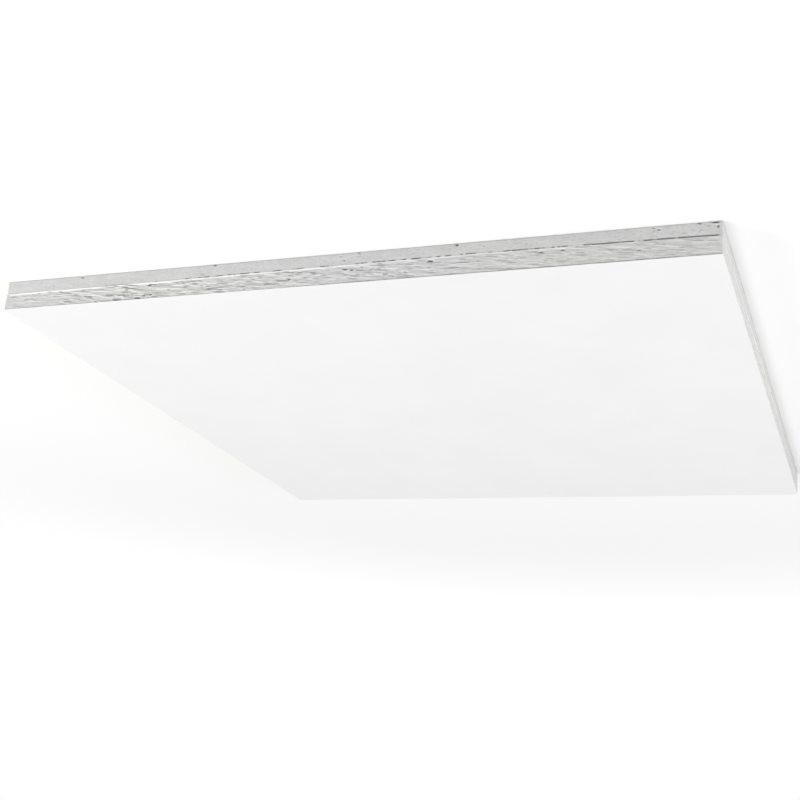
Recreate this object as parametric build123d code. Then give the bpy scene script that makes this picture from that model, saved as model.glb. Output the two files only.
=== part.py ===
"""Square acoustic ceiling panel, lying on its back with its white face up.

Five pieces are bonded into one flat sheet. From the back they are a paper liner, a dense rear
board, a layer of yellow glass wool and a painted face tissue. A skin of paint, the edge coat, runs
round three edges of the two thick layers, between the liner and the tissue. The edge at +X is left
bare: the board and the wool come out flush there, and show the coat's two ends beside them.

Millimetres, +Z up. The origin is the middle of the back, on the level that the panel lies on.
"""

from build123d import *

import os

# Outline of the panel
panel_length = 600.0
panel_width = 600.0
corner_radius = 1.0

# Thickness of each layer, from the back to the face
back_liner_thickness = 0.5
rear_board_thickness = 11.3
wool_core_thickness = 13.6
face_tissue_thickness = 0.6

# Edge coat, and the two lines in it
edge_coat_thickness = 0.6
seam_groove_width = 0.5
seam_groove_depth = 0.35
face_groove_width = 0.4

# Levels above the floor that follow from the layers
board_base = back_liner_thickness
seam_level = board_base + rear_board_thickness
face_tissue_base = seam_level + wool_core_thickness
panel_top = face_tissue_base + face_tissue_thickness
coat_top = face_tissue_base - face_groove_width


def outline(inset=0.0):
    """The panel's outline, drawn in by inset on every side."""
    length = panel_length - 2 * inset
    width = panel_width - 2 * inset
    radius = corner_radius - inset
    return RectangleRounded(length, width, radius) if radius > 0 else Rectangle(length, width)


def layer_outline(inset):
    """The outline drawn in by inset on three sides, and let out to the panel's own edge at +X."""
    half_length = panel_length / 2
    bare_half = Pos(half_length / 2, 0) * Rectangle(half_length, panel_width - 2 * inset)
    return (outline(inset) + bare_half) & outline()


def sheet(profile, base, top):
    """A flat sheet of the given outline, from base to top."""
    return Pos(0, 0, base) * extrude(profile, top - base)


def skin(base, top, depth):
    """A band round the three painted sides, from base to top and to the given depth inward."""
    return sheet(outline(), base, top) - sheet(layer_outline(depth), base, top)


def edge_coat():
    """The skin of paint, with a groove over the seam between the board and the wool."""
    half_groove = seam_groove_width / 2
    seam_groove = skin(seam_level - half_groove, seam_level + half_groove, seam_groove_depth)
    return skin(board_base, coat_top, edge_coat_thickness) - seam_groove


layer = layer_outline(edge_coat_thickness)
pieces = {
    "back_liner": sheet(outline(), 0, board_base),
    "rear_board": sheet(layer, board_base, seam_level),
    "wool_core": sheet(layer, seam_level, face_tissue_base),
    "face_tissue": sheet(outline(), face_tissue_base, panel_top),
    "edge_coat": edge_coat(),
}

os.makedirs("parts", exist_ok=True)
for name, piece in pieces.items():
    export_step(piece, f"parts/{name}.step")
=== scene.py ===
"""Looks of the square acoustic ceiling panel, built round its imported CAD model.

Modelled meshes stand for the five CAD pieces, at the same size and with the relief of the real
surfaces: a painted skin with a seam, pits and fibre ridges round three edges, and on the edge at
+X the bare board and the bare yellow wool.

The mesh code works in millimetres: s along one side of the panel from its middle, z up from the
panel's back, and depth inward from the outline. Points turn into metres where a mesh is made.
"""

import math

import bmesh
import bpy
import numpy as np
from mathutils import Matrix, Vector


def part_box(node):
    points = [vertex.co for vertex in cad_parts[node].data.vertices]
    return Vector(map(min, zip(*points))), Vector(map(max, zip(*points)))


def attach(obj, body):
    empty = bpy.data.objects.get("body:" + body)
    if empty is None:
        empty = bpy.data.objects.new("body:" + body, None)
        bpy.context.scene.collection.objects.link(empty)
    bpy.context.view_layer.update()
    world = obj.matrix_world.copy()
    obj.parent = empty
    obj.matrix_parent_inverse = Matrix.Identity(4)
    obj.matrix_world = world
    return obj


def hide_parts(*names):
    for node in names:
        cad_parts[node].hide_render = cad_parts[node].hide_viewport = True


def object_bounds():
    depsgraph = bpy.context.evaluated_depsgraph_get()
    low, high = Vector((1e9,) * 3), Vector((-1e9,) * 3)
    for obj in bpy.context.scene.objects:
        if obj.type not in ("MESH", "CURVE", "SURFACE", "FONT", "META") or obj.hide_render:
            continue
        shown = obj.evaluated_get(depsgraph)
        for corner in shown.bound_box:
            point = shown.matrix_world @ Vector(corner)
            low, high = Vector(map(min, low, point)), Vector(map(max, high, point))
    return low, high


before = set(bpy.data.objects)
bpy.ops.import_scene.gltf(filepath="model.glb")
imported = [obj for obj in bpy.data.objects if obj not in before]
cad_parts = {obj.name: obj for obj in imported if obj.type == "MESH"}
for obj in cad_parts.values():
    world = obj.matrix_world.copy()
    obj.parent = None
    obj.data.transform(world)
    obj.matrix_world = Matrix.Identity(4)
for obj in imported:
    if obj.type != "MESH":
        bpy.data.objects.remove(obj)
cad_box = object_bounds()

MM = 0.001


def level(node, end):
    """Height of a CAD node's underside, end 0, or its top, end 1, in millimetres."""
    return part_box(node)[end][2] / MM


# Sizes read from the CAD pieces
half_side = cad_box[1][0] / MM
board_base = level("rear_board", 0)
seam_level = level("rear_board", 1)
coat_top = level("edge_coat", 1)
face_base = level("face_tissue", 0)
panel_top = level("face_tissue", 1)

# The corners, the depth of the painted sides' hidden walls, how far the thick layers stay behind
# the paint, and how far the paint laps over each end of the bare side
corner_radius = 1.0
coat_back_depth = 1.3
layer_depth = 1.35
coat_lap = 0.95
corner_points = 7

# Bands of a painted side that have rows of their own: the arris at the back, the room that the seam
# has to sag, and the groove under the face tissue, into which the paint rises a little
arris_height = 0.8
seam_room = 2.8
groove_height = 0.5
groove_rise = 0.2

# How deep the paint lies at the corners, and in its deepest hollows
bead_depth = 0.08
deepest_hollow = 1.15

# How the thick layers are divided: the spacing on the bare side, the steps along each painted side,
# and how far in from the outline the rows on their flat faces lie
bare_spacing = 0.9
hidden_steps = 40
flat_insets = (150, 30, 6)

# Each side's direction along and direction out, going round the panel
SIDES = {
    "near": ((1, 0), (0, -1)),
    "bare": ((0, 1), (1, 0)),
    "far": ((-1, 0), (0, 1)),
    "left": ((0, -1), (-1, 0)),
}
BARE_SIDE = "bare"


# Random fields

def noise(u, v, seed):
    """Smooth random values from -1 to 1, about one bump to a unit, at the points u, v."""
    count = 128
    cells = np.random.default_rng(seed).uniform(-1, 1, (count, count))
    u, v = np.broadcast_arrays(u, v)
    u0, v0 = np.floor(u), np.floor(v)
    du, dv = u - u0, v - v0
    du, dv = du * du * (3 - 2 * du), dv * dv * (3 - 2 * dv)
    i, j = u0.astype(int) % count, v0.astype(int) % count
    i_next, j_next = (i + 1) % count, (j + 1) % count
    low = cells[i, j] * (1 - du) + cells[i_next, j] * du
    high = cells[i, j_next] * (1 - du) + cells[i_next, j_next] * du
    return low * (1 - dv) + high * dv


def rough(u, v, seed, octaves=3):
    """Noise with finer and fainter noise added to it."""
    turned = [(u * 2**k + 0.37 * k * v, v * 2**k - 0.29 * k * u) for k in range(octaves)]
    total = sum(noise(a, b, seed + k) / 2**k for k, (a, b) in enumerate(turned))
    return total / (2 - 2 ** (1 - octaves))


def ramp(value, start, end):
    """0 at start, 1 at end and smooth between them. Start may be the larger one."""
    t = np.clip((value - start) / (end - start), 0, 1)
    return t * t * (3 - 2 * t)


# Mesh building

def place(side, s, depth, z):
    """Points in metres on a side, which turns the rounded corner where s passes its straight part.

    Points that lie deeper than the corner's radius turn it in one sharp corner.
    """
    along, out = SIDES[side]
    straight = half_side - corner_radius
    s, depth, z = np.broadcast_arrays(s, depth, z)
    turn = np.clip((np.abs(s) - straight) / corner_radius, 0, None)
    reach = corner_radius - depth
    arc = np.maximum(reach, 0)
    deeper = np.minimum(reach, 0)
    a = np.sign(s) * np.minimum(np.abs(s), straight + np.where(turn > 0, arc * np.sin(turn), 0) + deeper)
    o = straight + arc * np.cos(turn) + deeper
    x = a * along[0] + o * out[0]
    y = a * along[1] + o * out[1]
    return np.stack([x, y, z], axis=-1) * MM


def make_object(name, points, faces, fields=None):
    """A smooth-shaded mesh object with named values at its vertices."""
    mesh = bpy.data.meshes.new(name)
    mesh.from_pydata(points.reshape(-1, 3).tolist(), [], faces)
    for field, values in (fields or {}).items():
        layer = mesh.attributes.new(field, "FLOAT", "POINT")
        layer.data.foreach_set("value", np.asarray(values, dtype=np.float32).ravel())
    mesh.polygons.foreach_set("use_smooth", [True] * len(mesh.polygons))
    mesh.update()
    made = bpy.data.objects.new(name, mesh)
    bpy.context.scene.collection.objects.link(made)
    return made


def strip_faces(columns, rows):
    """Faces of a bar that runs through the columns, with closed sections of so many rows."""
    c, r = np.meshgrid(np.arange(columns - 1), np.arange(rows), indexing="ij")
    r_next = (r + 1) % rows
    quads = np.stack([c * rows + r, (c + 1) * rows + r, (c + 1) * rows + r_next, c * rows + r_next], -1)
    first = list(range(rows))
    last = [(columns - 1) * rows + r for r in reversed(range(rows))]
    return quads.reshape(-1, 4).tolist() + [first, last]


def ring_faces(rows, points):
    """Faces of a closed solid whose rows go round it, with one point at its two middles."""
    r, p = np.meshgrid(np.arange(rows - 1), np.arange(points), indexing="ij")
    p_next = (p + 1) % points
    row, row_next = r * points, (r + 1) * points
    quads = np.stack([row + p, row + p_next, row_next + p_next, row_next + p], -1)
    bottom, top = rows * points, rows * points + 1
    start = (rows - 1) * points
    fans = [[bottom, (p + 1) % points, p] for p in range(points)]
    fans += [[top, start + p, start + (p + 1) % points] for p in range(points)]
    return quads.reshape(-1, 4).tolist() + fans


# Relief of the painted sides

# Hollows in the near side's paint: s, z, length and height in millimetres, and how deep they are and
# # how strong their painted shade and painted highlight are
NEAR_HOLLOWS = [
    # In the board
    (225, 1.6, 3.4, 1.7, 0.9), (99, 0.9, 3.5, 1.5, 1.0), (109, 7.5, 2.4, 1.6, 0.5),
    (61, 1.5, 2.4, 1.4, 0.4), (-12, 2.6, 2.2, 1.2, 0.6), (-15, 6.0, 2.4, 1.6, 0.8),
    (-18, 5.0, 1.8, 1.2, 0.5), (-27, 0.9, 2.6, 1.2, 0.6), (-47, 2.2, 2.2, 1.2, 0.3),
    (-106, 1.3, 3.0, 2.4, 1.0), (-127, 4.0, 2.0, 1.4, 0.5), (-252, 1.3, 2.2, 1.2, 0.6),
    (-256, 3.0, 3.0, 1.4, 1.0), (-284, 0.9, 3.0, 1.3, 0.9), (-295, 0.9, 9.0, 1.7, 1.0),
    (-297, 4.0, 2.8, 3.6, 0.9),
    # Over the wool
    (293, 14.0, 6.0, 1.5, 0.5), (281, 14.2, 2.6, 1.2, 0.4), (279, 17.6, 5.0, 1.4, 0.6),
    (245, 12.6, 4.0, 1.0, 0.6), (229, 16.6, 7.0, 1.1, 0.6), (208, 24.4, 3.4, 1.3, 0.8),
    (189, 24.2, 7.0, 1.2, 0.9), (168, 23.9, 6.0, 1.8, 1.0), (158, 13.4, 4.4, 1.6, 1.0),
    (156, 21.8, 3.8, 1.8, 1.0), (162, 22.1, 3.6, 1.3, 0.9), (165, 16.8, 2.6, 1.2, 0.6),
    (126, 13.8, 4.0, 1.5, 0.8), (117, 13.1, 7.5, 1.0, 0.7), (124, 17.6, 5.5, 1.2, 0.6),
    (91, 24.2, 11.0, 1.1, 0.8), (63, 15.8, 4.0, 1.2, 0.6), (50, 20.2, 4.0, 1.1, 0.5),
    (33, 12.1, 13.0, 0.9, 0.6), (31, 18.0, 5.5, 1.4, 1.0), (-16, 13.6, 5.0, 1.7, 1.0),
    (-22, 14.7, 3.4, 1.6, 1.0), (-30, 12.7, 3.4, 1.3, 0.5), (-50, 20.6, 4.4, 1.1, 0.6),
    (-66, 19.9, 3.6, 1.2, 0.6), (-86, 12.6, 5.0, 2.0, 1.0), (-88, 22.3, 6.0, 1.0, 0.5),
    (-171, 13.0, 3.8, 1.6, 1.0), (-187, 12.5, 3.2, 1.8, 0.9), (-184, 14.7, 5.5, 0.9, 0.5),
    (-242, 17.4, 4.0, 1.3, 0.7),
]

# What sets the painted sides apart. Each tuple runs evenly from the side's start to its end: how
# # far the seam sags towards the back, its pale lip, partly a white paint bead and partly a painted
# # highlight, its gap, darkened with painted shade, and how strongly the fibre layers, the grit over
# # the board and the warm tint show
PAINTED_SIDES = {
    "near": {
        "seed": 10,
        "seam_sag": (0.2, 1.3, 1.9, 1.5, 0.8, 0.4, 0.3),
        "lip": (0.0, 0.05, 0.2, 0.5, 0.75, 0.95, 1.0),
        "gap": (1.0, 0.64, 0.6, 0.52, 0.4, 0.3, 0.2),
        "layering": (0.5, 0.55, 0.6, 0.75, 0.95, 1.0, 0.4),
        "grit": (1.0, 0.3, 0.7, 0.3, 0.25, 0.2, 0.15),
        "warmth": (0.2, 0.15, 0.0, 0.0, 0.15, 0.5, 0.15),
        "spacing": 0.7,
        "board_rows": 17,
        "wool_rows": 52,
        "hollows": NEAR_HOLLOWS,
        "strokes": 420,
    },
    "left": {
        "seed": 40,
        "seam_sag": (1.2, 1.8, 2.4, 2.6, 2.4, 1.8, 0.6),
        "lip": (0.2, 0.25, 0.4, 0.45, 0.5, 0.4, 0.3),
        "gap": (0.5, 0.3, 0.2, 0.1, 0.1, 0.1, 0.2),
        "layering": (0.5, 0.4, 0.5, 0.6, 0.5, 0.4, 0.4),
        "grit": (0.4, 0.3, 0.2, 0.3, 0.2, 0.4, 0.6),
        "warmth": (0.1, 0.0, 0.1, 0.2, 0.1, 0.0, 0.1),
        "spacing": 1.0,
        "board_rows": 11,
        "wool_rows": 34,
        "hollows": [],
        "strokes": 260,
    },
    "far": {
        "seed": 70,
        "seam_sag": (0.5, 0.2, 0.7, 1.3, 1.0, 0.4, 0.3),
        "lip": (0.3, 0.6, 0.5, 0.2, 0.1, 0.4, 0.6),
        "gap": (0.3, 0.1, 0.2, 0.6, 0.8, 0.5, 0.2),
        "layering": (0.6, 0.9, 0.7, 0.5, 0.6, 0.8, 0.5),
        "grit": (0.2, 0.5, 0.3, 0.2, 0.6, 0.3, 0.3),
        "warmth": (0.3, 0.4, 0.1, 0.0, 0.1, 0.3, 0.2),
        "spacing": 1.0,
        "board_rows": 11,
        "wool_rows": 34,
        "hollows": [],
        "strokes": 330,
    },
}

# How much the layers and strokes rise towards the face, along a side from its end to its start, and
# how far from a side's ends its strokes keep
layer_slope = 0.12
stroke_margin = 6


def along_side(values, s):
    """The values, spread evenly over a side, at the points s."""
    stations = np.linspace(-half_side, half_side, len(values))
    return np.interp(s, stations, values)


def scattered_strokes(look):
    """Random strokes over the wool, pressed in or raised, and small pits and pimples in the board."""
    rng = np.random.default_rng(look["seed"] + 1)
    strokes = []
    for _ in range(look["strokes"]):
        s = rng.uniform(stroke_margin - half_side, half_side - stroke_margin)
        z = rng.uniform(seam_level - 0.5, coat_top - 0.8)
        layering = float(along_side(look["layering"], s))
        strength = rng.uniform(0.2, 0.8) ** 1.3 * layering * rng.choice((-1, 1))
        strokes.append((s, z, rng.uniform(3, 12), rng.uniform(0.8, 1.5), strength))
    for _ in range(look["strokes"] // 2):
        s = rng.uniform(stroke_margin - half_side, half_side - stroke_margin)
        z = rng.uniform(1, seam_level - 2)
        grit = float(along_side(look["grit"], s))
        strength = rng.uniform(0.05, 0.3) * (0.6 + grit) * rng.choice((-1, 1))
        strokes.append((s, z, rng.uniform(1.5, 4), rng.uniform(0.8, 1.4), strength))
    return strokes


def press_strokes(s, z, strokes, seed):
    """How far the strokes press in, below 0 where they are raised, and how dark and how pale they are.

    The half of a hollow that faces the panel's front, and of a ridge that faces its back, gets painted
    shade, and the rim on the other side gets a painted highlight.
    """
    pressed, dark, pale = np.zeros((3, len(s), z.shape[1]))
    ragged = 0.3 * noise(s / 1.3, z / 0.8, seed)
    for stroke_s, stroke_z, length, height, strength in strokes:
        first, last = np.searchsorted(s[:, 0], (stroke_s - length, stroke_s + length))
        part = slice(first, last)
        along = (s[part] - stroke_s) / (length / 2)
        across = (z - stroke_z + layer_slope * (s[part] - stroke_s)) / (height / 2)
        reach = np.hypot(along, across) + ragged[part]
        inside = ramp(reach, 1.2, 0.65)
        forward = across * np.sign(strength)
        rim = ramp(np.abs(reach - 1.1), 0.6, 0.1) * ramp(forward, -0.1, -0.7)
        pressed[part] += strength * inside
        # Painted shade on the front half of a hollow or the back half of a ridge, painted highlight on the
        # rim opposite
        dark[part] = np.maximum(dark[part], abs(strength) * inside * ramp(forward, -0.9, 0.0))
        pale[part] = np.maximum(pale[part], abs(strength) * rim)
    return np.clip(pressed, -0.5, 1.2), dark, pale


def painted_relief(side, s, z):
    """Depth of the paint on a side, its painted shade and painted highlight, and how warm it is."""
    look = PAINTED_SIDES[side]
    seed = look["seed"]
    lip, gap, layering, grit = (along_side(look[key], s) for key in ("lip", "gap", "layering", "grit"))
    seam = seam_level - along_side(look["seam_sag"], s) + 0.25 * rough(s / 24, 0, seed + 2)
    over_wool = ramp(z, seam, seam + 0.8)

    # The wool lies behind the board where the seam has its pale lip. Paint has a fine grain
    depth = 0.15 + 0.6 * lip * over_wool + 0.05 * noise(s / 9, z / 4, seed + 5)
    depth = depth + (0.02 + 0.05 * grit + 0.03 * over_wool) * rough(s / 1.7, z / 1.3, seed + 6)

    # Fibre layers: wavy shelves that run along the side over the wool. Shoulders that face the front get a
    #     # painted highlight, and those that face the back get painted shade
    wander = z + layer_slope * s + 0.7 * noise(s / 17, z / 5, seed + 9)
    shelf = ramp(rough(s / 11, wander / 1.8, seed + 10), -0.35, 0.35) * over_wool * layering
    shoulder = np.clip(np.gradient(shelf, z[0], axis=1), -1, 1)
    depth = depth + 0.3 * shelf

    # Seam: a broken gap on the board's side of the lip, darkened with painted shade. The lip's pale band is
    #     # partly a white paint bead and partly a painted highlight
    broken = ramp(1.8 * rough(s / 4, 0, seed + 13) + 2.6 * gap, 1.1, 2.1)
    half_gap = 0.35 + 0.4 * gap
    slit = ramp(np.abs(z - seam + half_gap), half_gap, 0.4 * half_gap) * (0.3 * (1 - gap) + 0.85 * broken)
    lip_bead_and_highlight = lip * ramp(z, seam - 0.1, seam + 0.15) * ramp(z, seam + 1.2, seam + 0.9)

    # Groove under the face tissue, darkened with painted shade, and the rounded arris at the back
    groove = ramp(z, coat_top - groove_height, coat_top)
    face_groove_shade = groove * (0.45 + 0.35 * noise(s / 11, 0, seed + 16) + 0.35 * layering)
    back_arris = ramp(z, board_base + 0.5, board_base)

    strokes = look["hollows"] + scattered_strokes(look)
    pressed, dark, pale = press_strokes(s, z, strokes, seed + 17)
    depth = depth + 0.6 * slit + 0.75 * groove + 0.12 * back_arris + 0.45 * pressed

    # All relief but the groove dies out at the corners, where the paint is a plain round bead
    inside = ramp(half_side - np.abs(s), 1.0, 4.0)
    relief = np.clip(depth, 0.0, deepest_hollow) - bead_depth
    depth = bead_depth + relief * np.maximum(inside, 0.9 * groove)
    # Painted shade: strokes' front halves, the seam's gap, the groove under the face tissue and shoulders
    # facing the back. Painted highlight: strokes' rims, the seam's lip, partly a white paint bead, and
    # shoulders facing the front
    dark = dark + slit + face_groove_shade + 0.3 * np.clip(-shoulder, 0, 1)
    dark = np.clip(dark, 0, 1) * np.maximum(inside, groove)
    pale = np.clip(pale + lip_bead_and_highlight + 0.8 * np.clip(shoulder, 0, 1), 0, 1) * inside * (1 - dark)
    warm = along_side(look["warmth"], s) * over_wool * (0.8 + 0.4 * noise(s / 20, z / 9, seed + 18))
    return depth, {"dark": dark, "pale": pale, "warm": np.clip(warm, 0, 1)}


def side_stations(spacing, start_turn, end_turn):
    """Values of s along a side, with its two corners turned by the given angles."""
    straight = half_side - corner_radius
    count = int(round(2 * straight / spacing))
    before = -straight - corner_radius * np.linspace(start_turn, 0, corner_points)[:-1]
    after = straight + corner_radius * np.linspace(0, end_turn, corner_points)[1:]
    return np.concatenate([before, np.linspace(-straight, straight, count + 1), after])


def painted_side(side, name):
    """One side of the edge coat, from corner to corner. At the bare side it laps the corner."""
    look = PAINTED_SIDES[side]
    order = list(SIDES)
    before = order[order.index(side) - 1]
    after = order[(order.index(side) + 1) % len(order)]
    start_turn, end_turn = (math.pi / 2 if n == BARE_SIDE else math.pi / 4 for n in (before, after))
    s = side_stations(look["spacing"], start_turn, end_turn)[:, None]
    arris_top = board_base + arris_height
    seam_base = seam_level - seam_room
    groove_base = coat_top - groove_height
    z = np.concatenate([
        np.linspace(board_base, arris_top, 4)[:-1],
        np.linspace(arris_top, seam_base, look["board_rows"])[:-1],
        np.linspace(seam_base, groove_base, look["wool_rows"]),
        np.linspace(groove_base, coat_top + groove_rise, 5)[1:],
    ])[None, :]
    depth, fields = painted_relief(side, s, z)
    z_back = np.array([[z[0, -1], seam_level, board_base]])
    outer = place(side, s, depth, z)
    inner = place(side, s, coat_back_depth, z_back)
    points = np.concatenate([outer, inner], axis=1)
    blank = np.zeros((len(s), z_back.shape[1]))
    fields = {key: np.concatenate([value, blank], axis=1) for key, value in fields.items()}
    made = make_object(name, points, strip_faces(*points.shape[:2]), fields)
    merge_doubles(made)
    return made


# Relief of the bare side

def board_relief(s, z):
    """Depth of the bare board's cut edge, and how dark it is: painted shade in the chips of its broken rim,
    and a darker band along its back.
    """
    rim = ramp(z, seam_level - 1.3, seam_level - 0.2)
    chips = ramp(noise(s / 2.6, z / 1.1, 71) + 0.5 * noise(s / 9, 0, 72), 0.05, 0.6)
    depth = 0.14 + 0.07 * noise(s / 5, z / 30, 73) + 0.04 * rough(s / 1.4, z / 1.6, 74)
    depth = depth + 0.65 * rim * chips + 0.2 * ramp(z, board_base + 0.6, board_base)
    rear = ramp(z, board_base + 2.2, board_base + 0.2) * (0.35 + 0.3 * noise(s / 35, 0, 75))
    return depth, np.maximum(rim * chips, rear)


def wool_relief(s, z):
    """Depth of the bare wool, layered along the panel, and its painted shade in its hollows and at its ends
    by the seam and the face.
    """
    layers = rough(s / 13, (z + 0.8 * noise(s / 16, z / 6, 81)) / 0.85, 82)
    tufts = rough(s / 3.5, z / 1.6, 85)
    ends = ramp(z, seam_level + 1.2, seam_level) + ramp(z, face_base - 0.9, face_base)
    hollow = np.clip(0.5 - 0.55 * layers - 0.35 * tufts, 0, 1)
    depth = 0.2 + 0.8 * hollow + 0.35 * ends * (0.6 + 0.4 * noise(s / 2.2, 0, 88))
    return depth, np.clip(1.5 * hollow - 0.75 + 0.8 * ends, 0, 1)


def layer_ring():
    """The outline of the thick layers, in millimetres, and which of its points are bare.

    Behind the paint it is drawn in. At the bare side it widens to the ends of the coat's two laps.
    """
    inner = half_side - layer_depth
    bare_reach = half_side - coat_lap
    bare_y = np.linspace(-bare_reach, bare_reach, int(2 * bare_reach / bare_spacing) + 1)
    bare = np.stack([np.full_like(bare_y, half_side), bare_y], axis=1)
    far_x = np.linspace(inner, -inner, hidden_steps + 1)
    left_y = np.linspace(inner, -inner, hidden_steps + 1)[1:]
    near_x = np.linspace(-inner, inner, hidden_steps + 1)[1:]
    far = np.stack([far_x, np.full_like(far_x, inner)], axis=1)
    left = np.stack([np.full_like(left_y, -inner), left_y], axis=1)
    near = np.stack([near_x, np.full_like(near_x, -inner)], axis=1)
    ring = np.concatenate([bare, far, left, near])
    return ring, np.arange(len(ring)) < len(bare)


def thick_layer(name, base, top, row_height, relief):
    """A closed block between two levels, with its relief on the bare side."""
    ring, bare = layer_ring()
    levels = np.linspace(base, top, int(round((top - base) / row_height)) + 1)
    rows = [(base, inset) for inset in flat_insets]
    rows += [(z, 0) for z in levels]
    rows += [(top, inset) for inset in reversed(flat_insets)]
    points, darks = [], []
    for z, inset in rows:
        row = ring * (1 - inset / half_side)
        dark = np.zeros(len(ring))
        depth, dark[bare] = relief(ring[bare, 1], np.full(bare.sum(), z))
        row[bare, 0] -= depth
        points.append(np.column_stack([row, np.full(len(ring), z)]))
        darks.append(dark)
    points = np.concatenate(points + [[[0, 0, base]], [[0, 0, top]]]) * MM
    fields = {"dark": np.concatenate(darks + [[0, 0]])}
    return make_object(name, points, ring_faces(len(rows), len(ring)), fields)


# Thin sheets

def sheet_ring(spacings):
    """The side and the s of points round the whole outline, with a spacing for each side."""
    sides, stations = [], []
    for side, spacing in spacings.items():
        s = side_stations(spacing, math.pi / 4, math.pi / 4)[:-1]
        sides += [side] * len(s)
        stations.append(s)
    return np.array(sides), np.concatenate(stations)


def square_row(side, s, inset, z):
    """Points in metres on a side's part of a square that lies so far in from the outline."""
    along, out = SIDES[side]
    corner = half_side - inset
    run = np.clip(s / (half_side - corner_radius), -1, 1) * corner
    x = run * along[0] + corner * out[0]
    y = run * along[1] + corner * out[1]
    return np.column_stack([x, y, np.full(len(s), z)]) * MM


def thin_sheet(name, base, top, ragged, waviness, spacings, seed):
    """A closed sheet with a rounded rim, whose top sinks in waves of so many millimetres.

    Ragged gives how far each side's rim strays inward. The sheet's field "painted" is 1 where the
    edge paint runs over the rim.
    """
    sides, s = sheet_ring(spacings)
    round_rim = min(0.25, (top - base) / 2.5)
    last_inset = half_side - 8
    inner_insets = np.concatenate([[0.8, 2.5], np.arange(6, last_inset, 9.5)])
    rows = [(base, inset) for inset in (last_inset, 150, 40, 8, 2)]
    rows += [(base, round_rim), (base + 0.3 * round_rim, 0.3 * round_rim), (base + round_rim, 0)]
    rows += [(top - round_rim, 0), (top - 0.3 * round_rim, 0.3 * round_rim), (top, round_rim)]
    rows += [(top, inset) for inset in inner_insets]
    points, painted = [], []
    for z, inset in rows:
        painted.append((sides != BARE_SIDE) * ramp(inset, 1.5, 0.4))
        row = np.zeros((len(s), 3))
        for side in spacings:
            mine = sides == side
            at = s[mine]
            if inset < corner_radius:
                stray = ragged[side] * (0.5 + 0.5 * rough(at / 2.3, z / 3, seed))
                stray = stray * (1 + noise(at / 23, 0, seed + 3))
                stray = stray * ramp(inset, 2.0, 0.2) * ramp(half_side - np.abs(at), 0.8, 3)
                row[mine] = place(side, at, np.minimum(inset + stray, 0.95 * corner_radius), z)
            else:
                row[mine] = square_row(side, at, inset, z)
        if z == top and inset > 1:
            lift = noise(row[:, 0] / MM / 90, row[:, 1] / MM / 90, seed + 7) - 1
            row[:, 2] += waviness * MM * lift * min(1, inset / 20)
        points.append(row)
    middles = [[[0, 0, base * MM]], [[0, 0, (top - waviness) * MM]]]
    fields = {"painted": np.concatenate(painted + [[0, 0]])}
    made = make_object(name, np.concatenate(points + middles), ring_faces(len(rows), len(s)), fields)
    merge_doubles(made)
    return made


def merge_doubles(made):
    """Joins the points that meet where a row's corner is sharp."""
    work = bmesh.new()
    work.from_mesh(made.data)
    bmesh.ops.remove_doubles(work, verts=work.verts, dist=1e-7)
    work.to_mesh(made.data)
    work.free()


# Loose fibres and crumbs on the bare side, and how far from its ends their middles keep
fibre_margin = 14
crumb_margin = 3


def fibres(name, count, seed):
    """Thin bent strands lying in the bare wool, most of them along the panel."""
    rng = np.random.default_rng(seed)
    bends, sides = 6, 3
    t = np.linspace(-0.5, 0.5, bends)
    points, tones, faces = [], [], []
    for _ in range(count):
        length = rng.uniform(4, 22)
        slope = rng.normal(0, 0.05) if rng.random() < 0.85 else rng.normal(0, 0.35)
        s0 = rng.uniform(-half_side + fibre_margin, half_side - fibre_margin)
        z0 = rng.uniform(seam_level + 0.7, face_base - 0.5)
        s = s0 + length * t
        z = z0 + slope * length * t + 0.5 * rng.normal(0, 0.6) * (t * 2) ** 2
        z = np.clip(z, seam_level + 0.3, face_base - 0.15)
        lift = rng.uniform(0.02, 0.3) * (1 - (2 * t) ** 4) - 0.15 * (2 * t) ** 4
        radius = rng.uniform(0.05, 0.13) * (1 - 0.6 * np.abs(2 * t))
        depth = np.maximum(wool_relief(s, z)[0] - lift, radius)
        start = len(points) * bends * sides
        ring = []
        for k in range(sides):
            angle = 2 * math.pi * k / sides
            across, up = radius * math.cos(angle), radius * math.sin(angle)
            ring.append(place(BARE_SIDE, s, depth - across, z + up))
        points.append(np.stack(ring, axis=1))
        tones.append(np.full(bends * sides, rng.uniform(0, 1)))
        faces += [[start + v for v in face] for face in strip_faces(bends, sides)]
    return make_object(name, np.concatenate(points), faces, {"tone": np.concatenate(tones)})


def crumbs(name, count, seed, sizes, middle, spread):
    """Small broken lumps strewn along the bare side about one level, and kept inside the panel."""
    rng = np.random.default_rng(seed)
    bpy.ops.mesh.primitive_ico_sphere_add(subdivisions=1, radius=1)
    lump = bpy.context.object
    shape = np.array([v.co[:] for v in lump.data.vertices])
    shape_faces = [list(p.vertices) for p in lump.data.polygons]
    bpy.data.objects.remove(lump)
    points, tones, faces = [], [], []
    for index in range(count):
        s = rng.uniform(-half_side + crumb_margin, half_side - crumb_margin)
        z = middle + spread * rng.normal()
        size = rng.uniform(*sizes) / 2 * np.array([0.6, rng.uniform(0.8, 1.8), rng.uniform(0.6, 1.1)])
        centre = place(BARE_SIDE, s, 0.15 + size[0] * rng.uniform(0.6, 1.4), z)
        turned = shape @ np.array(Matrix.Rotation(rng.uniform(0, 6), 3, rng.normal(size=3).tolist()))
        body = turned * (1 + 0.35 * rng.uniform(-1, 1, (len(shape), 1))) * size * MM + centre
        points.append(np.minimum(body, np.array([half_side, half_side, panel_top]) * MM))
        tones.append(np.full(len(shape), rng.uniform(0, 1)))
        faces += [[index * len(shape) + v for v in face] for face in shape_faces]
    return make_object(name, np.concatenate(points), faces, {"tone": np.concatenate(tones)})


# Materials

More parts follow.
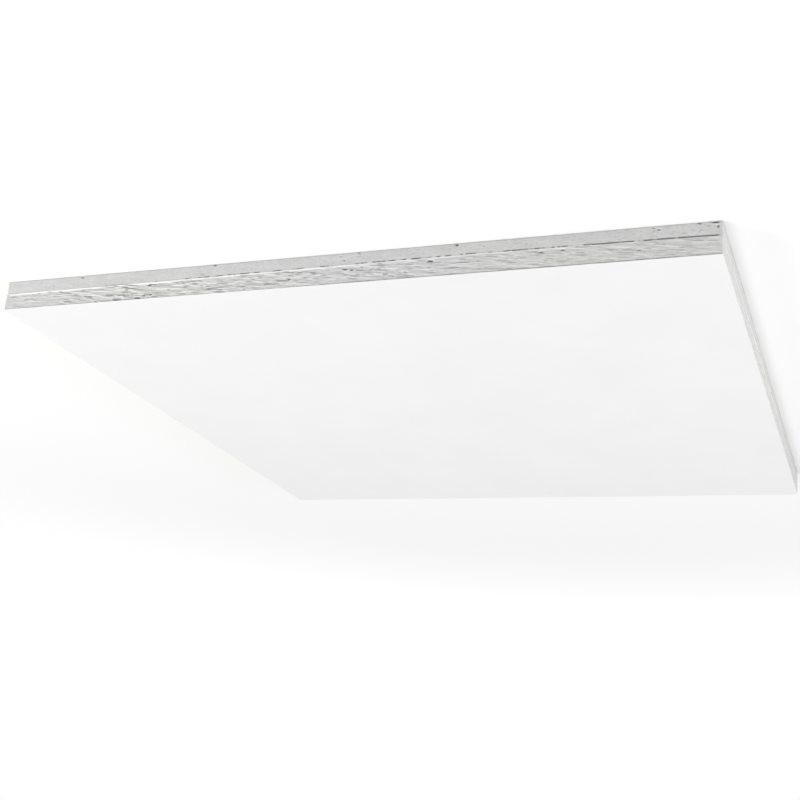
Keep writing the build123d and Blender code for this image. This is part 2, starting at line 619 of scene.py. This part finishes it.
class Nodes:
    """Short hand for building a node tree."""

    def __init__(self, tree):
        self.tree = tree

    def add(self, kind, settings=None, **inputs):
        """A node with its settings, and with its inputs set or linked. Names use _ for a space."""
        node = self.tree.nodes.new(kind)
        for key, value in (settings or {}).items():
            setattr(node, key, value)
        for key, value in inputs.items():
            self.feed(node.inputs[key.replace("_", " ")], value)
        return node

    def feed(self, socket, value):
        """Links another node's socket to this one, or sets this one's value."""
        if isinstance(value, bpy.types.NodeSocket):
            self.tree.links.new(value, socket)
        else:
            socket.default_value = value

    def math(self, operation, a, b):
        """Two numbers combined."""
        made = self.add("ShaderNodeMath", {"operation": operation})
        self.feed(made.inputs[0], a)
        self.feed(made.inputs[1], b)
        return made.outputs[0]

    def seen_rays(self):
        """1 for rays that come from the camera, also by a reflection or through glass, and else 0."""
        path = self.add("ShaderNodeLightPath")
        seen = self.math("MAXIMUM", path.outputs["Is Camera Ray"], path.outputs["Is Glossy Ray"])
        return self.math("MAXIMUM", seen, path.outputs["Is Transmission Ray"])


class Surface(Nodes):
    """One material's nodes."""

    def __init__(self, name, roughness):
        self.material = bpy.data.materials.new(name)
        self.material.use_nodes = True
        super().__init__(self.material.node_tree)
        self.shader = self.tree.nodes["Principled BSDF"]
        self.shader.inputs["Roughness"].default_value = roughness
        self.shader.inputs["Specular IOR Level"].default_value = 0.25
        self.coords = self.add("ShaderNodeTexCoord").outputs["Object"]

    def field(self, name):
        """A value that the mesh carries at its vertices."""
        return self.add("ShaderNodeAttribute", {"attribute_name": name}).outputs["Fac"]

    def noise(self, size, stretch=(1, 1, 1), detail=3.0):
        """Noise with bumps of about that size in millimetres, drawn out by stretch along X, Y, Z."""
        scale = [1 / part for part in stretch]
        mapped = self.add("ShaderNodeMapping", Vector=self.coords, Scale=scale)
        made = self.add("ShaderNodeTexNoise", Vector=mapped.outputs[0], Scale=1 / (size * MM), Detail=detail)
        return made.outputs["Fac"]

    def spread(self, value, low, high):
        """The value, from 0.3 to 0.7, spread to the range from low to high."""
        made = self.add("ShaderNodeMapRange", Value=value, From_Min=0.3, From_Max=0.7,
                        To_Min=low, To_Max=high)
        return made.outputs[0]

    def mix(self, factor, a, b, blend="MIX"):
        """Two colours mixed."""
        made = self.add("ShaderNodeMix", {"data_type": "RGBA", "blend_type": blend})
        self.feed(made.inputs[0], factor)
        self.feed(made.inputs[6], a)
        self.feed(made.inputs[7], b)
        return made.outputs[2]

    def ramp(self, value, stops):
        """Colours at stops from 0 to 1."""
        made = self.add("ShaderNodeValToRGB", Fac=value)
        elements = made.color_ramp.elements
        while len(elements) < len(stops):
            elements.new(0.5)
        for element, (position, colour) in zip(elements, stops):
            element.position = position
            element.color = (*colour, 1)
        return made.outputs[0]

    def finish(self, colour, height=None, depth=0.1, strength=0.5):
        """Sets the colour, and a bump of so many millimetres from the height."""
        self.feed(self.shader.inputs["Base Color"], colour)
        if height is not None:
            bump = self.add("ShaderNodeBump", Height=height, Strength=strength, Distance=depth * MM)
            self.feed(self.shader.inputs["Normal"], bump.outputs[0])
        return self.material


def grey(value):
    """A grey colour, from 0, black, to 1, white."""
    return (value, value, value, 1)


def face_material():
    """White painted glass tissue: a dry grain, faint crossing fibres and a few small darker spots."""
    n = Surface("white_tissue", 0.85)
    grain = n.noise(1.1, detail=4)
    strands = n.math("ADD", n.noise(0.5, (14, 1, 1)), n.noise(0.5, (1, 14, 1)))
    tint = n.spread(n.noise(60), 0.885, 0.905)
    colour = n.mix(n.spread(grain, 0.0, 0.035), n.mix(1.0, grey(1), tint, "MULTIPLY"), grey(0.75))
    cells = n.add("ShaderNodeTexVoronoi", {"voronoi_dimensions": "2D"}, Vector=n.coords, Scale=32.0)
    hole = n.add("ShaderNodeMapRange", Value=cells.outputs["Distance"], From_Min=0.006, From_Max=0.014,
                 To_Min=0.3, To_Max=0.0)
    # A few small darker spots, in colour only, with no depth
    colour = n.mix(hole.outputs[0], colour, (0.45, 0.43, 0.38, 1))
    return n.finish(colour, n.math("ADD", grain, n.math("MULTIPLY", strands, 0.35)), 0.12, 0.35)


def coat_material():
    """Pale grey paint, a little warm in places, with painted shade in its hollows, seam gap and groove,
    and painted highlights on its rims and shoulders and on its lip, which also has a white paint bead.
    """
    n = Surface("edge_paint", 0.8)
    base = n.mix(n.field("warm"), (0.665, 0.665, 0.663, 1), (0.68, 0.67, 0.625, 1))
    mottle = n.spread(n.noise(6, (2.5, 2.5, 1)), 0.94, 1.05)
    specks = n.spread(n.noise(1.1, (2.0, 2.0, 1)), 0.93, 1.06)
    colour = n.mix(1.0, base, n.math("MULTIPLY", mottle, specks), "MULTIPLY")
    # The field pale is painted highlight, with a white paint bead on the lip, and the field dark is painted
    # shade
    colour = n.mix(n.field("pale"), colour, (0.95, 0.95, 0.945, 1))
    colour = n.mix(n.math("MULTIPLY", n.field("dark"), 0.95), colour, (0.07, 0.068, 0.065, 1))
    return n.finish(colour, n.noise(0.8, detail=4), 0.15, 0.4)


def wool_colour(n):
    """Yellow with paler and orange-brown streaks along the panel."""
    streaks = n.noise(1.5, (1, 9, 1), detail=5)
    return n.ramp(streaks, [
        (0.30, (0.40, 0.27, 0.008)), (0.43, (0.63, 0.50, 0.010)), (0.56, (0.75, 0.65, 0.018)),
        (0.70, (0.84, 0.79, 0.12)),
    ])


def wool_material():
    """Bare glass wool, streaked along the panel, with painted shade in its hollows and along the seam and
    face.
    """
    n = Surface("glass_wool", 0.9)
    # The field dark is painted shade in the wool's hollows and along its ends at the seam and the face
    colour = n.mix(n.math("MULTIPLY", n.field("dark"), 0.8), wool_colour(n), (0.22, 0.13, 0.01, 1))
    return n.finish(colour, n.noise(0.35, (1, 8, 1), detail=5), 0.3, 0.8)


def fibre_material():
    """Loose strands, each in its own tone from brown through yellow to pale."""
    n = Surface("glass_fibres", 0.7)
    tone = n.ramp(n.field("tone"), [
        (0.0, (0.42, 0.29, 0.01)), (0.25, (0.68, 0.56, 0.015)), (0.7, (0.80, 0.72, 0.04)),
        (1.0, (0.90, 0.87, 0.32)),
    ])
    colour = n.mix(n.spread(n.noise(2.0), 0.0, 0.3), tone, (0.6, 0.42, 0.01, 1))
    return n.finish(colour, n.noise(0.2, detail=2), 0.05, 0.3)


def board_material():
    """Greige board with faint upright streaks on its cut edge, painted shade in the chips of its broken rim,
    and a darker band along its back.
    """
    n = Surface("mineral_board", 0.85)
    streaks = n.spread(n.noise(5, (1, 1, 7)), 0.9, 1.08)
    specks = n.spread(n.noise(0.8), 0.95, 1.04)
    colour = n.mix(1.0, (0.57, 0.53, 0.40, 1), n.math("MULTIPLY", streaks, specks), "MULTIPLY")
    # The field dark is painted shade in the rim's chips, plus a darker band along the back
    colour = n.mix(n.math("MULTIPLY", n.field("dark"), 0.75), colour, (0.20, 0.16, 0.09, 1))
    return n.finish(colour, n.noise(0.7, (1, 1, 3), detail=4), 0.15, 0.5)


def liner_material():
    """Brownish-grey paper with a felted grain, and a wash of the edge paint on its rim."""
    n = Surface("liner_paper", 0.85)
    felt = n.noise(1.6, (3, 1, 1), detail=5)
    paper = n.ramp(felt, [(0.3, (0.31, 0.27, 0.21)), (0.7, (0.42, 0.37, 0.30))])
    wash = n.math("MULTIPLY", n.field("painted"), n.spread(n.noise(7), 0.6, 0.95))
    return n.finish(n.mix(wash, paper, (0.67, 0.66, 0.64, 1)), felt, 0.1, 0.4)


def crumb_material(name, low, high):
    """Crumbs, each in its own tone between two colours."""
    n = Surface(name, 0.9)
    colour = n.ramp(n.field("tone"), [(0.0, low), (1.0, high)])
    colour = n.mix(n.spread(n.noise(0.5), 0.0, 0.25), colour, (*low, 1))
    return n.finish(colour, n.noise(0.3, detail=2), 0.1, 0.5)


# The panel

def dress(made, node, material):
    """Puts a piece on the panel's one body, in place of a CAD node, with its material."""
    made.data.materials.append(material)
    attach(made, "root")
    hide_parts(node)


coat_paint = coat_material()
for side in PAINTED_SIDES:
    dress(painted_side(side, f"edge_coat_{side}"), "edge_coat", coat_paint)

dress(
    thin_sheet(
        "face_sheet", face_base, panel_top, {"near": 0.1, "bare": 0.45, "far": 0.1, "left": 0.1}, 0.05,
        {"near": 2.4, "bare": 1.0, "far": 2.4, "left": 2.4}, 101,
    ),
    "face_tissue", face_material(),
)
dress(
    thin_sheet(
        "liner_sheet", 0, board_base, {"near": 0.25, "bare": 0.3, "far": 0.25, "left": 0.25}, 0.0,
        {"near": 2.4, "bare": 2.4, "far": 2.4, "left": 2.4}, 111,
    ),
    "back_liner", liner_material(),
)
dress(
    thick_layer("board_block", board_base, seam_level, 0.55, board_relief), "rear_board",
    board_material(),
)
dress(
    thick_layer("wool_block", seam_level, face_base, 0.4, wool_relief), "wool_core",
    wool_material(),
)
dress(fibres("wool_fibres", 1500, 121), "wool_core", fibre_material())

pale = crumb_material("pale_crumbs", (0.50, 0.46, 0.36), (0.88, 0.87, 0.82))
dark = crumb_material("dark_crumbs", (0.05, 0.04, 0.025), (0.25, 0.18, 0.08))

# Each piece of crumbs: its node and material, then the count, seed, sizes, level and spread
CRUMBS = {
    "rim_crumbs_pale": ("rear_board", pale, 380, 131, (0.4, 1.4), seam_level, 0.45),
    "rim_crumbs_dark": ("rear_board", dark, 520, 132, (0.3, 1.1), seam_level + 0.1, 0.5),
    "tissue_crumbs_pale": ("face_tissue", pale, 190, 133, (0.4, 1.1), face_base - 0.2, 0.25),
    "tissue_crumbs_dark": ("face_tissue", dark, 380, 134, (0.3, 1.0), face_base - 0.5, 0.35),
}
for crumbs_name, (node, material, *strewn) in CRUMBS.items():
    dress(crumbs(crumbs_name, *strewn), node, material)


# Floor, light and camera

# The floor's half width, its drop below the panel, and where it fades to white, in metres
floor_reach = 12.0
floor_drop = 0.05 * MM
floor_fade_start = 0.55
floor_fade_end = 1.1
floor_albedo = 0.8
world_level = 0.6

# Each lamp's place and size in metres, and its power in watts
LAMPS = {
    "top_lamp": (Vector((0.3, -0.6, 3.2)), 1.0, 25.5),
    "key_lamp": (Vector((1.1, -1.3, 0.75)), 0.6, 9.2),
    "fill_lamp": (Vector((-1.5, -0.3, 0.35)), 0.5, 6.7),
}

camera_place = Vector((-0.4107, -1.1130, 0.4283))
camera_target = Vector((0.0349, -0.0428, panel_top * MM))
camera_roll = math.radians(174.57)
camera_lens = 58.03


def make_floor():
    """A pale floor that the camera sees as white, but for the panel's shadow."""
    corners = [(-1, -1), (1, -1), (1, 1), (-1, 1)]
    points = np.array([(x * floor_reach, y * floor_reach, -floor_drop) for x, y in corners])
    floor = make_object("floor", points, [[0, 1, 2, 3]])
    n = Surface("floor_white", 0.9)
    n.shader.inputs["Base Color"].default_value = grey(floor_albedo)
    n.shader.inputs["Specular IOR Level"].default_value = 0.0
    seen = n.seen_rays()

    lift = n.add("ShaderNodeEmission", Color=grey(1), Strength=n.math("MULTIPLY", seen, 1 - floor_albedo))
    lifted = n.add("ShaderNodeAddShader")
    n.feed(lifted.inputs[0], n.shader.outputs[0])
    n.feed(lifted.inputs[1], lift.outputs[0])

    distance = n.add("ShaderNodeVectorMath", {"operation": "LENGTH"})
    n.feed(distance.inputs[0], n.coords)
    fade = n.add("ShaderNodeMapRange", {"interpolation_type": "SMOOTHSTEP"}, Value=distance.outputs["Value"],
                 From_Min=floor_fade_start, From_Max=floor_fade_end)
    white = n.add("ShaderNodeEmission", Color=grey(1), Strength=1.0)
    mixed = n.add("ShaderNodeMixShader", Fac=n.math("MULTIPLY", fade.outputs[0], seen))
    n.feed(mixed.inputs[1], lifted.outputs[0])
    n.feed(mixed.inputs[2], white.outputs[0])
    n.feed(n.tree.nodes["Material Output"].inputs["Surface"], mixed.outputs[0])
    floor.data.materials.append(n.material)


def make_world():
    """Even white light, which the camera sees as plain white."""
    world = bpy.data.worlds.new("studio")
    bpy.context.scene.world = world
    world.use_nodes = True
    n = Nodes(world.node_tree)
    strength = n.add("ShaderNodeMapRange", Value=n.seen_rays(), To_Min=world_level, To_Max=1.0)
    background = n.tree.nodes["Background"]
    n.feed(background.inputs["Color"], grey(1))
    n.feed(background.inputs["Strength"], strength.outputs[0])


def make_lamp(name, place_at, size, power):
    """A soft square lamp aimed at the panel's middle."""
    lamp = bpy.data.lights.new(name, "AREA")
    lamp.size = size
    lamp.energy = power
    made = bpy.data.objects.new(name, lamp)
    made.location = place_at
    made.rotation_euler = (-place_at).to_track_quat("-Z", "Y").to_euler()
    made.visible_camera = False
    bpy.context.scene.collection.objects.link(made)


def make_camera():
    """The photograph's view. It is rolled half round, so that the panel hangs as it does there."""
    camera = bpy.data.cameras.new("camera")
    camera.lens = camera_lens
    made = bpy.data.objects.new("camera", camera)
    made.location = camera_place
    aim = (camera_target - camera_place).to_track_quat("-Z", "Y").to_matrix()
    made.rotation_euler = (aim @ Matrix.Rotation(-camera_roll, 3, "Z")).to_euler()
    bpy.context.scene.collection.objects.link(made)
    bpy.context.scene.camera = made


make_floor()
make_world()
for lamp_name, (lamp_place, lamp_size, lamp_power) in LAMPS.items():
    make_lamp(lamp_name, lamp_place, lamp_size, lamp_power)
make_camera()
bpy.context.scene.view_settings.view_transform = "Standard"
